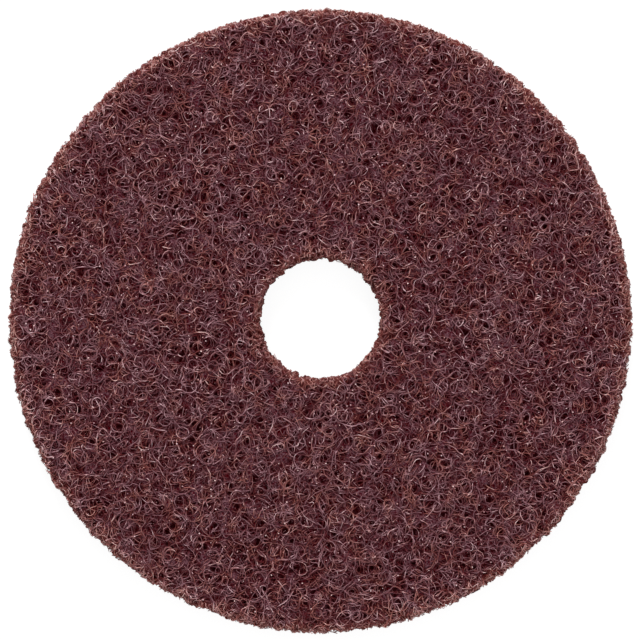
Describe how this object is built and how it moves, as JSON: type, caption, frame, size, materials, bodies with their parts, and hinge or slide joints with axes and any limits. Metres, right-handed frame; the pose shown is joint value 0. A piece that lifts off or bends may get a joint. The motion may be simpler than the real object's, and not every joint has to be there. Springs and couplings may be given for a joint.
{
  "type": "abrasive fleece disc",
  "caption": "Round disc of matted maroon abrasive fleece with a central bore, for rubbing down and finishing metal, wood or paint.",
  "frame": {"origin": "middle of the disc's outline, on its back face", "axes": "+Z out of the front face, along the disc's axis; +Y towards the side that the bore is punched off centre to, the top of the picture"},
  "size_m": [0.1154, 0.1155, 0.006],
  "materials": {
    "fleece": "dull maroon, curled resin-coated nylon fibres with abrasive grain, matte and open"
  },
  "bodies": {
    "root": {"fleece_disc": "fleece"}
  },
  "joints": []
}
